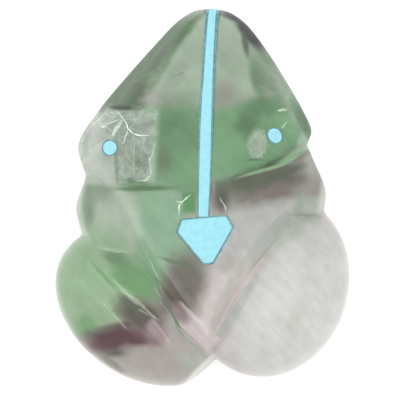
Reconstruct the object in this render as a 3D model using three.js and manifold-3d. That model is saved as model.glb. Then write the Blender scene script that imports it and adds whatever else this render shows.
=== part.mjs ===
// A small frog carved from banded fluorite and inlaid with turquoise: a heartline down
// its back, an arrowhead at the heartline's end, and two round eyes.
// Millimetres, +Z up. The nose points along -Y and the frog's left side is at +X.
// The origin is on the ground, under the middle of the carving.

import * as THREE from 'three';
import { ConvexGeometry } from 'three/addons/geometries/ConvexGeometry.js';
import { mergeVertices } from 'three/addons/utils/BufferGeometryUtils.js';
import Module from 'manifold-3d';

const wasm = await Module();
wasm.setup();

// Driving dimensions

const length = 44; // nose to the end of the haunches
const width = 34.4; // across both haunches
const height = 17; // ground to the middle of the back

const heartline = { noseWidth: 1, backWidth: 1.25, depth: 1.4 };
const arrowhead = { width: 6.3, topWidth: 5.1, tipWidth: 1, length: 5.2, shoulder: 1.35, depth: 1.6, turn: 5 };
const eye = { leftDiameter: 1.7, rightDiameter: 1.8, depth: 1.8 };
const glueLine = 0.25; // resin between an inlay and the walls and floor of its pocket
const mouth = { depth: 0.5, opening: 0.8 };
const overcut = 2; // how far a cutter stands out of the stone

const domeSegments = 52;
const domeRings = 22;
const plugSegments = 32;
const heartlineSteps = 24;
const mouthSteps = 22;

// Places on the frog, as shares: across from the middle to the left haunch, along from the
// middle to the rump, and up from the ground to the back

const place = ([across, along, up = 0]) =>
  new THREE.Vector3((across * width) / 2, (along * length) / 2, up * height);

const headPlaces = {
  noseCrest: [-0.061, -0.995, 0.44],
  noseTip: [-0.061, -1, 0.34],
  noseLeft: [0.06, -0.99, 0.33],
  noseRight: [-0.175, -0.985, 0.33],
  snoutRidgeLeft: [0.116, -0.905, 0.49],
  snoutRidgeRight: [-0.252, -0.895, 0.49],
  snoutRimLeft: [0.184, -0.93, 0.33],
  snoutRimRight: [-0.286, -0.926, 0.33],
  lipLeft: [0.401, -0.75, 0.34],
  lipRight: [-0.429, -0.787, 0.34],
  browRimLeft: [0.672, -0.502, 0.36],
  browRimRight: [-0.655, -0.495, 0.36],
  browLeft: [0.36, -0.511, 0.7],
  browRight: [-0.374, -0.516, 0.7],
  browCrest: [-0.014, -0.5, 0.8],
  templeLeft: [0.785, -0.38, 0.4],
  cheekFrontLeft: [0.838, -0.31, 0.39],
  cheekLeft: [0.848, -0.26, 0.38],
  cheekBackLeft: [0.832, -0.2, 0.38],
  cheekRight: [-0.738, -0.352, 0.4],
  cheekRearLeft: [0.79, -0.12, 0.38],
  cheekRearRight: [-0.685, -0.26, 0.4],
  eyeShelfLeft: [0.745, -0.275, 0.635],
  eyeShelfRight: [-0.645, -0.35, 0.62],
  crown: [0, -0.251, 0.925],
  nape: [0, 0.02, 0.93],
  napeLeft: [0.551, -0.03, 0.68],
  napeRight: [-0.56, -0.13, 0.68],
  chinLeft: [0.05, -0.965, 0.2],
  chinRight: [-0.18, -0.96, 0.2],
  jawLeft: [0.578, -0.452, 0.14],
  jawRight: [-0.592, -0.452, 0.14],
  throatLeft: [0.6, -0.2, -0.02],
  throatRight: [-0.56, -0.24, -0.02],
  throat: [0, -0.42, -0.02],
};

const forelegLeftPlaces = {
  shoulder: [0.785, -0.11, 0.45],
  shoulderInner: [0.56, -0.05, 0.6],
  crest: [0.62, 0.09, 0.66],
  elbow: [0.868, 0.055, 0.3],
  elbowTop: [0.8, 0.05, 0.5],
  waist: [0.82, 0.19, 0.3],
  waistTop: [0.77, 0.2, 0.5],
  wrist: [0.66, 0.31, 0.56],
  wristInner: [0.42, 0.29, 0.64],
  crestInner: [0.48, 0.12, 0.68],
  footFront: [0.77, -0.1, -0.02],
  footElbow: [0.83, 0.05, -0.02],
  footRear: [0.76, 0.22, -0.02],
  footInner: [0.4, 0.1, -0.02],
};

const forelegRightPlaces = {
  shoulder: [-0.7, -0.235, 0.42],
  shoulderTop: [-0.64, -0.2, 0.52],
  upperArm: [-0.796, -0.116, 0.38],
  shoulderInner: [-0.46, -0.1, 0.62],
  elbow: [-0.835, -0.03, 0.3],
  elbowTop: [-0.785, -0.04, 0.5],
  waist: [-0.818, 0.08, 0.3],
  wrist: [-0.77, 0.09, 0.48],
  crest: [-0.64, -0.02, 0.67],
  crestInner: [-0.45, 0.06, 0.78],
  footFront: [-0.68, -0.22, -0.02],
  footElbow: [-0.8, -0.035, -0.02],
  footRear: [-0.77, 0.08, -0.02],
  footInner: [-0.4, 0, -0.02],
};

// Domes: centre and radii as the same shares, turned about +Z in degrees. A fullness of 2
// is an ellipsoid, and a greater one swells its shoulders.
const backDome = { centre: [0, 0.1, 0.294], radii: [0.81, 0.76, 0.706], turn: 0, fullness: 2.1 };
const haunchLeft = { centre: [0.41, 0.578, 0.26], radii: [0.65, 0.372, 0.42], turn: -36, fullness: 2.15 };
const haunchRight = { centre: [-0.461, 0.47, 0.26], radii: [0.628, 0.412, 0.42], turn: 71.5, fullness: 2.15 };

// Flat faces that the wheel leaves: a place on the face, and the way it looks
const backFaces = [
  { at: [0.578, -0.055, 0.79], facing: [0.9, 0.38, 0.4] },
  { at: [0.1, 0.6, 0.76], facing: [0.62, 0.68, 0.44] },
  { at: [-0.782, -0.04, 0.49], facing: [-0.8, 0.57, 0.36] },
];
const haunchLeftFaces = [{ at: [0, 0.9, 0.3], facing: [-0.68, 0.73, 0.15] }];

// Neck notches: the line of the notch's bottom from the outside to where it runs out near
// the crest, the way the wall behind the head looks, and the way the shoulder's slope looks
const neckNotches = [
  { from: [0.782, -0.14, 0.5], to: [0.28, -0.05, 0.935], wall: [0, 1, 0.5], slope: [0, -0.4, 1] },
  { from: [-0.71, -0.27, 0.5], to: [-0.26, -0.09, 0.93], wall: [-0.35, 1, 0.5], slope: [0, -0.4, 1] },
];

// Inlays: the heartline's middle from the nose to the arrowhead, the arrowhead's middle,
// and the eyes
const heartlinePath = [
  [-0.07, -1.03],
  [-0.044, -0.78],
  [-0.026, -0.516],
  [-0.014, -0.251],
  [-0.006, 0],
];
const arrowheadPlace = [-0.007, 0.106];
const eyeLeftPlace = [0.6245, -0.26];
const eyeRightPlace = [-0.4805, -0.323];

// The mouth: its two corners, and the place that it is cut towards
const mouthCornerLeft = [0.64, -0.45, 0.277];
const mouthCornerRight = [-0.64, -0.43, 0.277];
const mouthMiddle = [0, -0.4, 0.277];

// Solids

function solidOf(geometry) {
  const bare = geometry.clone();
  bare.deleteAttribute('normal');
  bare.deleteAttribute('uv');
  const merged = mergeVertices(bare, 1e-5);
  const vertProperties = new Float32Array(merged.attributes.position.array);
  const triVerts = new Uint32Array(merged.index.array);
  return new wasm.Manifold(new wasm.Mesh({ numProp: 3, vertProperties, triVerts }));
}

function geometryOf(solid) {
  const mesh = solid.getMesh();
  const geometry = new THREE.BufferGeometry();
  geometry.setAttribute('position', new THREE.BufferAttribute(mesh.vertProperties, 3));
  geometry.setIndex(new THREE.BufferAttribute(mesh.triVerts, 1));
  geometry.computeVertexNormals();
  return geometry;
}

function hull(places) {
  return solidOf(new ConvexGeometry(Object.values(places).map(place)));
}

// A ball swollen by its fullness, then stretched, turned and put in its place
function dome({ centre, radii, turn, fullness }) {
  const ball = new THREE.SphereGeometry(1, domeSegments, domeRings);
  ball.rotateX(Math.PI / 2);
  const position = ball.attributes.position;
  for (let i = 0; i < position.count; i += 1) {
    const point = new THREE.Vector3().fromBufferAttribute(position, i);
    const level = Math.hypot(point.x, point.y);
    const size = (level ** fullness + Math.abs(point.z) ** fullness) ** (1 / fullness);
    point.divideScalar(size);
    position.setXYZ(i, point.x, point.y, point.z);
  }
  ball.scale((radii[0] * width) / 2, (radii[1] * length) / 2, radii[2] * height);
  ball.rotateZ(THREE.MathUtils.degToRad(turn));
  const middle = place(centre);
  ball.translate(middle.x, middle.y, middle.z);
  return solidOf(ball);
}

// A block whose near face passes through a point and looks along a direction
function wasteBeyond(point, facing) {
  const side = 3 * Math.max(length, width, height);
  const block = new THREE.BoxGeometry(side, side, side);
  block.translate(0, 0, side / 2);
  const turn = new THREE.Quaternion();
  turn.setFromUnitVectors(new THREE.Vector3(0, 0, 1), facing.clone().normalize());
  block.applyQuaternion(turn);
  block.translate(point.x, point.y, point.z);
  return solidOf(block);
}

function grind(solid, faces) {
  const cut = (left, { at, facing }) =>
    left.subtract(wasteBeyond(place(at), new THREE.Vector3(...facing)));
  return faces.reduce(cut, solid);
}

// The part of a direction that is square to the notch's bottom line
function squareTo(line, direction) {
  return new THREE.Vector3(...direction).projectOnPlane(line);
}

function notch(solid, { from, to, wall, slope }) {
  const start = place(from);
  const line = place(to).sub(start).normalize();
  const behindHead = wasteBeyond(start, squareTo(line, wall));
  const overShoulder = wasteBeyond(start, squareTo(line, slope));
  return solid.subtract(behindHead.intersect(overShoulder));
}

// A solid from rings of points, each ring seen anticlockwise from the next one's side
function loft(rings) {
  const count = rings[0].length;
  const points = rings.flat();
  const index = [];
  for (let ring = 0; ring + 1 < rings.length; ring += 1) {
    for (let i = 0; i < count; i += 1) {
      const a = ring * count + i;
      const b = ring * count + ((i + 1) % count);
      index.push(a, b, b + count, a, b + count, a + count);
    }
  }
  const last = (rings.length - 1) * count;
  for (let i = 1; i + 1 < count; i += 1) {
    index.push(0, i + 1, i);
    index.push(last, last + i, last + i + 1);
  }
  const geometry = new THREE.BufferGeometry().setFromPoints(points);
  geometry.setIndex(index);
  return solidOf(geometry);
}

// Body before its inlays

const lobes = [
  hull(forelegLeftPlaces),
  hull(forelegRightPlaces),
  grind(dome(haunchLeft), haunchLeftFaces),
  dome(haunchRight),
];
const trunk = hull(headPlaces).add(grind(dome(backDome), backFaces));
const carved = lobes.reduce((sum, lobe) => sum.add(lobe), neckNotches.reduce(notch, trunk));
const rounded = grind(carved, [{ at: [0, 0, 0], facing: [0, 0, -1] }]);
const roundedMesh = new THREE.Mesh(geometryOf(rounded));

function firstHit(from, direction) {
  return new THREE.Raycaster(from, direction.normalize()).intersectObject(roundedMesh)[0];
}

// The mouth: a level vee round the snout, shallower towards its corners
function mouthCutter() {
  const middle = place(mouthMiddle);
  const [startAngle, endAngle] = [mouthCornerLeft, mouthCornerRight].map((at) => {
    const corner = place(at).sub(middle);
    return Math.atan2(corner.y, corner.x);
  });
  const rings = [];
  for (let step = 0; step <= mouthSteps; step += 1) {
    const share = step / mouthSteps;
    const angle = THREE.MathUtils.lerp(startAngle, endAngle, share);
    const out = new THREE.Vector3(Math.cos(angle), Math.sin(angle), 0);
    const lip = firstHit(middle.clone().addScaledVector(out, length), out.clone().negate()).point;
    const depth = mouth.depth * Math.sin(Math.PI * THREE.MathUtils.lerp(0.15, 0.85, share));
    const inner = lip.clone().addScaledVector(out, -depth);
    const outer = lip.clone().addScaledVector(out, overcut);
    const spread = ((mouth.opening / 2) * (depth + overcut)) / mouth.depth;
    rings.push([
      inner,
      outer.clone().setZ(lip.z - spread),
      outer.clone().setZ(lip.z + spread),
    ]);
  }
  return loft(rings);
}

const blank = rounded.subtract(mouthCutter());

function surfaceAt(x, y) {
  const hit = firstHit(new THREE.Vector3(x, y, 2 * height), new THREE.Vector3(0, 0, -1));
  return hit ? hit.point : null;
}

// Cutters: each stands over the finished surface and reaches a depth below it. A margin
// makes the pocket's cutter wider and deeper than the inlay's.

// The heartline runs out over the nose and stops at the arrowhead's glue line
function heartlineCutter(margin) {
  const end = place(arrowheadPlace);
  end.y -= glueLine - margin;
  const middle = new THREE.CatmullRomCurve3([...heartlinePath.map((at) => place(at)), end]);
  const noseEnd = surfaceAt(place(headPlaces.noseCrest).x, place(headPlaces.noseCrest).y);
  const rings = [];
  for (let step = 0; step <= heartlineSteps; step += 1) {
    const share = step / heartlineSteps;
    const point = middle.getPointAt(share);
    const half = THREE.MathUtils.lerp(heartline.noseWidth, heartline.backWidth, share) / 2 + margin;
    const surface = (surfaceAt(point.x, point.y) ?? noseEnd).z;
    const floor = surface - heartline.depth - margin;
    const corner = (across, z) => new THREE.Vector3(point.x + across, point.y, z);
    rings.push([
      corner(-half, floor),
      corner(-half, surface + overcut),
      corner(half, surface + overcut),
      corner(half, floor),
    ]);
  }
  return loft(rings);
}

// Moves every side of a convex outline outwards by a distance
function outset(outline, distance) {
  const sides = outline.map((point, i) => {
    const next = outline[(i + 1) % outline.length];
    const along = next.clone().sub(point).normalize();
    const out = new THREE.Vector2(along.y, -along.x);
    return { point: point.clone().addScaledVector(out, distance), along };
  });
  return sides.map((side, i) => {
    const last = sides[(i + sides.length - 1) % sides.length];
    const between = last.point.clone().sub(side.point);
    const share = between.cross(last.along) / side.along.cross(last.along);
    return side.point.clone().addScaledVector(side.along, share);
  });
}

// A flat-topped arrowhead from the middle of its top edge, turned a little to one side
function arrowheadOutline() {
  const [wide, top, tip] = [arrowhead.width / 2, arrowhead.topWidth / 2, arrowhead.tipWidth / 2];
  const middle = place(arrowheadPlace);
  const corners = [
    [-top, 0],
    [top, 0],
    [wide, arrowhead.shoulder],
    [tip, arrowhead.length],
    [-tip, arrowhead.length],
    [-wide, arrowhead.shoulder],
  ];
  const turn = THREE.MathUtils.degToRad(arrowhead.turn);
  return corners.map(([x, y]) => {
    const corner = new THREE.Vector2(x, y).rotateAround(new THREE.Vector2(), turn);
    return corner.add(new THREE.Vector2(middle.x, middle.y));
  });
}

function arrowheadCutter(margin) {
  const outline = outset(arrowheadOutline(), margin);
  const floor = height - arrowhead.depth - margin;
  const ring = (z) => outline.map(({ x, y }) => new THREE.Vector3(x, y, z));
  return loft([ring(floor), ring(height + overcut)]);
}

// The eye's hole is drilled square to the stone, as three places round it lie
function eyeCutter(at, diameter, margin) {
  const middle = place(at);
  const around = [0, 1, 2].map((third) => {
    const angle = (third * 2 * Math.PI) / 3;
    return surfaceAt(middle.x + diameter * Math.cos(angle), middle.y + diameter * Math.sin(angle));
  });
  const normal = new THREE.Plane().setFromCoplanarPoints(...around).normal;
  const tall = overcut + eye.depth + margin;
  const plug = new THREE.CylinderGeometry(diameter / 2 + margin, diameter / 2 + margin, tall, plugSegments);
  plug.rotateX(Math.PI / 2);
  plug.translate(0, 0, overcut - tall / 2);
  plug.applyQuaternion(new THREE.Quaternion().setFromUnitVectors(new THREE.Vector3(0, 0, 1), normal));
  const surface = surfaceAt(middle.x, middle.y);
  plug.translate(surface.x, surface.y, surface.z);
  return solidOf(plug);
}

const cutters = {
  heartline: heartlineCutter,
  arrowhead: arrowheadCutter,
  eye_left: (margin) => eyeCutter(eyeLeftPlace, eye.leftDiameter, margin),
  eye_right: (margin) => eyeCutter(eyeRightPlace, eye.rightDiameter, margin),
};

const fluorite = new THREE.MeshStandardMaterial({ color: 0x9db89f, roughness: 0.12, metalness: 0 });
const turquoise = new THREE.MeshStandardMaterial({ color: 0xa8ecf6, roughness: 0.3, metalness: 0 });

const pocketed = Object.values(cutters).reduce((left, cutter) => left.subtract(cutter(glueLine)), blank);
const body = new THREE.Mesh(geometryOf(pocketed), fluorite);
body.name = 'frog_body';

const frog = new THREE.Group();
frog.add(body);

for (const [name, cutter] of Object.entries(cutters)) {
  const inlay = new THREE.Mesh(geometryOf(blank.intersect(cutter(0))), turquoise.clone());
  inlay.name = name;
  frog.add(inlay);
}

export default frog;
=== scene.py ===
import math

import bmesh
import bpy
import numpy as np
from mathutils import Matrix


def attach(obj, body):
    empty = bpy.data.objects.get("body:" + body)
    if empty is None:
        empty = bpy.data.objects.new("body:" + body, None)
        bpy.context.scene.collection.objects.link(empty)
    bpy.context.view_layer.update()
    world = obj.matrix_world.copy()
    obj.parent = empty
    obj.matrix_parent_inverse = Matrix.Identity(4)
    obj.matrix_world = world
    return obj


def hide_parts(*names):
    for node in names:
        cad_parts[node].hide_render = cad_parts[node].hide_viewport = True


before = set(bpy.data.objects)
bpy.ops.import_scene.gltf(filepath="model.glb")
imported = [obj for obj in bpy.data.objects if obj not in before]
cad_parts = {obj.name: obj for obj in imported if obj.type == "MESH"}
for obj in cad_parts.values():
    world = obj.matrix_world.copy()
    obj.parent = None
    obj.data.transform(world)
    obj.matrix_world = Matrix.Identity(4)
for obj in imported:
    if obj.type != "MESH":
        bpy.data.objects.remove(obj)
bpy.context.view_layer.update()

# A small frog carved from banded fluorite, with turquoise inlays set in dark resin.
# Shapes are worked out in millimetres in the frame's own axes, and go to Blender in metres.

mm = 0.001
frogSize = {"length": 44, "width": 34.4, "height": 17}
# How far the frog reaches from the origin: across, along and up
reach = np.array([frogSize["width"] / 2, frogSize["length"] / 2, frogSize["height"]])

# The photograph's frame: the px of the model's origin, and the mm that a px stands for, as the
# frog is 378 px long
photo = {"origin": (203, 197.5), "mmPerPx": frogSize["length"] / 378}


# A place in the photograph as (across, along) in mm. Across runs the other way, as +X is at
# the left of the photograph
def fromPhoto(x, y):
    return (photo["origin"][0] - x) * photo["mmPerPx"], (y - photo["origin"][1]) * photo["mmPerPx"]


# A place in mm from its shares of the reach: across to the left haunch, along to the rump and
# up to the back
def place(shares):
    return np.array(shares, dtype=float) * reach


# Rounded greatest value: the log of the sum of the exponentials, so edges get a soft radius
def blendMax(values, radius):
    values = np.stack(values)
    top = values.max(axis=0)
    return top + radius * np.log(np.exp((values - top) / radius).sum(axis=0))


# Rounded least value: the greatest of the negatives, made negative
def blendMin(values, radius):
    return -blendMax([-value for value in values], radius)


# Vectors made one long
def unit(vectors):
    return vectors / np.linalg.norm(vectors, axis=-1, keepdims=True)


# From 0 at low to 1 at high, smoothly: 3 * share ^ 2 - 2 * share ^ 3 of the way between them
def smoothStep(low, high, value):
    share = np.clip((value - low) / (high - low), 0, 1)
    return share * share * (3 - 2 * share)


# Unit directions all round a circle, cosine and sine of even angles from the first one on
def circle(spots, first=0):
    angles = np.linspace(first, first + 2 * np.pi, spots, endpoint=False)
    return np.stack([np.cos(angles), np.sin(angles)], axis=1)


# A smooth ripple between about -1 and 1: sine waves with seeded directions and lengths, added
# up and divided by their usual height
def ripple(first, second, wavelength, seed, waves=6, height=3.5):
    rng = np.random.default_rng(seed)
    turns, phases = rng.uniform(0, 2 * np.pi, (2, waves))
    stretches = rng.uniform(0.6, 1.7, waves)
    total = 0
    for turn, phase, stretch in zip(turns, phases, stretches):
        across = np.cos(turn) * first + np.sin(turn) * second
        total = total + np.sin(2 * np.pi * across * stretch / wavelength + phase)
    return total / height


# The planes round a set of corners: outward normals, and their distances from the origin
def hullPlanes(shares):
    corners = place(list(shares.values()))
    shell = bmesh.new()
    for corner in corners:
        shell.verts.new(corner)
    bmesh.ops.convex_hull(shell, input=shell.verts)
    shell.normal_update()
    centre = corners.mean(axis=0)
    rows = []
    for face in shell.faces:
        normal = np.array(face.normal)
        offset = normal @ np.array(face.verts[0].co)
        side = np.sign(offset - normal @ centre)
        rows.append((*(side * normal), side * offset))
    shell.free()
    rows = np.unique(np.round(rows, 3), axis=0)
    return rows[:, :3], rows[:, 3]


# Distance to a faceted lobe: the rounded greatest of its planes' distances, swollen so that
# its rounded edges, where about four planes meet, keep their places
def hullField(points, planes, radius):
    normals, offsets = planes
    return blendMax(list((points @ normals.T - offsets).T), radius) - radius * math.log(4)


# Distance to a swollen ball: its size measure less one, over how fast that measure grows
def domeField(points, dome):
    turn = math.radians(dome["turn"])
    middle = place(dome["centre"])
    radii = np.array(dome["radii"]) * reach
    x = points[:, 0] - middle[0]
    y = points[:, 1] - middle[1]
    x, y = math.cos(turn) * x + math.sin(turn) * y, math.cos(turn) * y - math.sin(turn) * x
    up = (points[:, 2] - middle[2]) / radii[2]
    level = np.hypot(x / radii[0], y / radii[1]) + 1e-9
    power = dome["fullness"]
    size = (level ** power + np.abs(up) ** power) ** (1 / power)
    levelGrowth = np.hypot(x / radii[0] ** 2, y / radii[1] ** 2) / level * (level / size) ** (power - 1)
    upGrowth = (np.abs(up) / size) ** (power - 1) / radii[2]
    return (size - 1) / (np.hypot(levelGrowth, upGrowth) + 1e-6)


# Signed distance past a plane through a place
def pastPlane(points, start, facing):
    return (points - start) @ unit(np.array(facing, dtype=float))


# The body's radii, mouth and grid in mm. The foot's radius grows by the chin's between two
# places along. The mouth's angle is taken round a place along, mouthFan. It fades out between
# two angles at its corners and between two places along
frogBody = {
    "ridgeRadius": 0.14, "grooveRadius": 0.16, "footRadius": 0.3, "chinRadius": 1, "chinAlong": (-5, -9),
    "mouthDepth": 0.5, "mouthHeight": 4.71, "mouthOpening": 0.8,
    "mouthFan": -8.8, "mouthCorner": (1.62, 1.2), "mouthAlong": (-8, -9.5),
    "rows": 236, "columns": 400, "topShare": 0.38, "spread": 0.5, "middle": (0, 1, 4), "rise": 12,
    "sharpAngle": 38,
}
# The corners of the head and the forelegs, each lobe being the hull of its corners
headPlaces = {
    "noseCrest": (-0.061, -0.995, 0.44), "noseTip": (-0.061, -1, 0.34),
    "noseLeft": (0.06, -0.99, 0.33), "noseRight": (-0.175, -0.985, 0.33),
    "snoutRidgeLeft": (0.116, -0.905, 0.49), "snoutRidgeRight": (-0.252, -0.895, 0.49),
    "snoutRimLeft": (0.184, -0.93, 0.33), "snoutRimRight": (-0.286, -0.926, 0.33),
    "lipLeft": (0.401, -0.75, 0.34), "lipRight": (-0.429, -0.787, 0.34),
    "browRimLeft": (0.672, -0.502, 0.36), "browRimRight": (-0.655, -0.495, 0.36),
    "browLeft": (0.36, -0.511, 0.7), "browRight": (-0.374, -0.516, 0.7),
    "browCrest": (-0.014, -0.5, 0.8), "templeLeft": (0.785, -0.38, 0.4),
    "cheekFrontLeft": (0.838, -0.31, 0.39), "cheekLeft": (0.848, -0.26, 0.38),
    "cheekBackLeft": (0.832, -0.2, 0.38), "cheekRight": (-0.738, -0.352, 0.4),
    "cheekRearLeft": (0.79, -0.12, 0.38), "cheekRearRight": (-0.685, -0.26, 0.4),
    "eyeShelfLeft": (0.745, -0.275, 0.635), "eyeShelfRight": (-0.645, -0.35, 0.62),
    "crown": (0, -0.251, 0.925), "nape": (0, 0.02, 0.93),
    "napeLeft": (0.551, -0.03, 0.68), "napeRight": (-0.56, -0.13, 0.68),
    "chinLeft": (0.05, -0.965, 0.2), "chinRight": (-0.18, -0.96, 0.2),
    "jawLeft": (0.578, -0.452, 0.14), "jawRight": (-0.592, -0.452, 0.14),
    "throatLeft": (0.6, -0.2, -0.02), "throatRight": (-0.56, -0.24, -0.02),
    "throat": (0, -0.42, -0.02),
}
forelegLeftPlaces = {
    "shoulder": (0.785, -0.11, 0.45), "shoulderInner": (0.56, -0.05, 0.6),
    "crest": (0.62, 0.09, 0.66), "elbow": (0.868, 0.055, 0.3), "elbowTop": (0.8, 0.05, 0.5),
    "waist": (0.82, 0.19, 0.3), "waistTop": (0.77, 0.2, 0.5), "wrist": (0.66, 0.31, 0.56),
    "wristInner": (0.42, 0.29, 0.64), "crestInner": (0.48, 0.12, 0.68),
    "footFront": (0.77, -0.1, -0.02), "footElbow": (0.83, 0.05, -0.02),
    "footRear": (0.76, 0.22, -0.02), "footInner": (0.4, 0.1, -0.02),
}
forelegRightPlaces = {
    "shoulder": (-0.7, -0.235, 0.42), "shoulderTop": (-0.64, -0.2, 0.52),
    "upperArm": (-0.796, -0.116, 0.38), "shoulderInner": (-0.46, -0.1, 0.62), "elbow": (-0.835, -0.03, 0.3),
    "elbowTop": (-0.785, -0.04, 0.5), "waist": (-0.818, 0.08, 0.3), "wrist": (-0.77, 0.09, 0.48),
    "crest": (-0.64, -0.02, 0.67), "crestInner": (-0.45, 0.06, 0.78),
    "footFront": (-0.68, -0.22, -0.02), "footElbow": (-0.8, -0.035, -0.02),
    "footRear": (-0.77, 0.08, -0.02), "footInner": (-0.4, 0, -0.02),
}
backDome = {"centre": (0, 0.1, 0.294), "radii": (0.81, 0.76, 0.706), "turn": 0, "fullness": 2.1}
haunchLeft = {
    "centre": (0.41, 0.578, 0.26), "radii": (0.65, 0.372, 0.42), "turn": -36, "fullness": 2.15,
}
haunchRight = {
    "centre": (-0.461, 0.47, 0.26), "radii": (0.628, 0.412, 0.42), "turn": 71.5, "fullness": 2.15,
}
# Flat faces that the wheel leaves: a place, the way the face looks, and how soft its edge is
backFaces = [((0.578, -0.055, 0.79), (0.9, 0.38, 0.4), 7), ((0.1, 0.6, 0.76), (0.62, 0.68, 0.44), 7),
             ((-0.782, -0.04, 0.49), (-0.8, 0.57, 0.36), 2)]
haunchLeftFaces = [((0, 0.9, 0.3), (-0.68, 0.73, 0.15), 1)]
neckNotches = [
    {"start": (0.782, -0.14, 0.5), "end": (0.28, -0.05, 0.935),
     "wall": (0, 1, 0.5), "slope": (0, -0.4, 1)},
    {"start": (-0.71, -0.27, 0.5), "end": (-0.26, -0.09, 0.93),
     "wall": (-0.35, 1, 0.5), "slope": (0, -0.4, 1)},
]

headHull = hullPlanes(headPlaces)
forelegLeftHull = hullPlanes(forelegLeftPlaces)
forelegRightHull = hullPlanes(forelegRightPlaces)


# A field cut by flat faces is the rounded greatest of it and the distance past each face
def faced(points, field, faces, radius):
    for at, facing, softness in faces:
        field = blendMax([field, pastPlane(points, place(at), facing)], radius * softness)
    return field


# Head and back as one, with the vee of each neck notch taken out: a notch's depth is the
# lesser of the distances past its wall and its slope
def trunkField(points, ridge, groove):
    head = hullField(points, headHull, ridge)
    back = faced(points, domeField(points, backDome), backFaces, ridge)
    trunk = blendMin([head, back], groove)
    for notch in neckNotches:
        start = place(notch["start"])
        line = unit(place(notch["end"]) - start)
        sides = []
        for facing in (notch["wall"], notch["slope"]):
            facing = np.array(facing, dtype=float)
            sides.append(pastPlane(points, start, facing - line * (facing @ line)))
        trunk = blendMax([trunk, blendMin(sides, groove)], ridge)
    return trunk


# Distances to the forelegs and the haunches, which all join the trunk at a groove
def lobeFields(points, ridge):
    return [
        hullField(points, forelegLeftHull, ridge),
        hullField(points, forelegRightHull, ridge),
        faced(points, domeField(points, haunchLeft), haunchLeftFaces, ridge),
        domeField(points, haunchRight),
    ]


# The mouth: a level vee whose depth fades towards its corners and behind the head
def mouthDepth(points):
    angle = np.arctan2(points[:, 0], frogBody["mouthFan"] - points[:, 1])
    fade = smoothStep(*frogBody["mouthCorner"], np.abs(angle))
    fade = fade * smoothStep(*frogBody["mouthAlong"], points[:, 1])
    away = np.abs(points[:, 2] - frogBody["mouthHeight"])
    vee = np.clip(1 - away / (frogBody["mouthOpening"] / 2), 0, 1)
    return frogBody["mouthDepth"] * vee * fade


# Distance from the frog's skin: less than 0 inside, more than 0 outside. The ground
# underside meets the rest at a small radius, and under the chin at a wide one
def frogField(points, ridge=frogBody["ridgeRadius"], groove=frogBody["grooveRadius"]):
    field = blendMin([trunkField(points, ridge, groove), *lobeFields(points, ridge)], groove)
    field = field + mouthDepth(points)
    chin = smoothStep(*frogBody["chinAlong"], points[:, 1])
    foot = frogBody["footRadius"] + frogBody["chinRadius"] * chin
    return blendMax([field, -points[:, 2]], foot)


# Where lines from outside first meet the skin: each steps inwards by most of its distance
def meet(origins, directions, far=40, steps=70, share=0.9, touch=2e-4):
    directions = unit(np.broadcast_to(directions, origins.shape))
    travel = np.full(len(origins), float(far))
    moving = np.arange(len(origins))
    for _ in range(steps):
        gap = frogField(origins[moving] + directions[moving] * travel[moving, None])
        travel[moving] -= share * gap
        moving = moving[np.abs(gap) > touch]
        if len(moving) == 0:
            break
    return origins + directions * travel[:, None]


# The way the skin faces at a place: how the field grows along each axis, made a unit long
def skinNormal(points, step=0.02):
    slopes = [frogField(points + step * axis) - frogField(points - step * axis) for axis in np.eye(3)]
    return unit(np.stack(slopes, axis=1))


# The skin's place straight below a place as it is seen from above
def skinBelow(across, along):
    flat = np.stack([np.ravel(across), np.ravel(along), np.zeros(np.size(across))], axis=1)
    return meet(flat, np.array([0.0, 0.0, 1.0]))


# A new object in the scene that shows a mesh, a lamp or a camera
def addObject(name, data):
    added = bpy.data.objects.new(name, data)
    bpy.context.scene.collection.objects.link(added)
    return added


# A mesh object from millimetre points and faces, faces smooth except past an angle
def makePiece(name, points, faces, sharpAngle=None):
    mesh = bpy.data.meshes.new(name)
    mesh.from_pydata((np.asarray(points) * mm).tolist(), [], faces)
    mesh.validate()
    mesh.shade_smooth()
    if sharpAngle:
        mesh.set_sharp_from_angle(angle=math.radians(sharpAngle))
    return addObject(name, mesh)


# The quads between the rings of a grid whose rings close on themselves. Turned ones face the
# other way
def ringFaces(rings, count, start=0, turned=False):
    ring, spot = np.meshgrid(np.arange(rings - 1), np.arange(count), indexing="ij")
    here, after = start + ring * count + spot, start + ring * count + (spot + 1) % count
    corners = [here, after, after + count, here + count]
    if turned:
        corners = [corners[corner] for corner in (0, 3, 2, 1)]
    return np.stack(corners, axis=-1).reshape(-1, 4).tolist()


# The faces of a closed tube whose first point is start: its rings, and a cap at each end
def cappedFaces(rings, count, start=0):
    cap = start + np.arange(count)
    ends = [cap[::-1].tolist(), (cap + (rings - 1) * count).tolist()]
    return ringFaces(rings, count, start) + ends


# The faces of a grid between two poles, the first point and the last one: triangles out from
# the first pole, quads between the rings, and triangles in to the last pole
def poleFaces(rings, count, turned=False):
    here = np.arange(count)
    after = (here + 1) % count
    last = rings * count + 1
    fans = []
    for pole, start, ways in ((0, 1, (after, here)), (last, last - count, (here, after))):
        first, second = ways[::-1] if turned else ways
        fans.append(np.stack([np.full(count, pole), start + first, start + second], axis=1).tolist())
    return fans[0] + ringFaces(rings, count, 1, turned) + fans[1]


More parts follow.
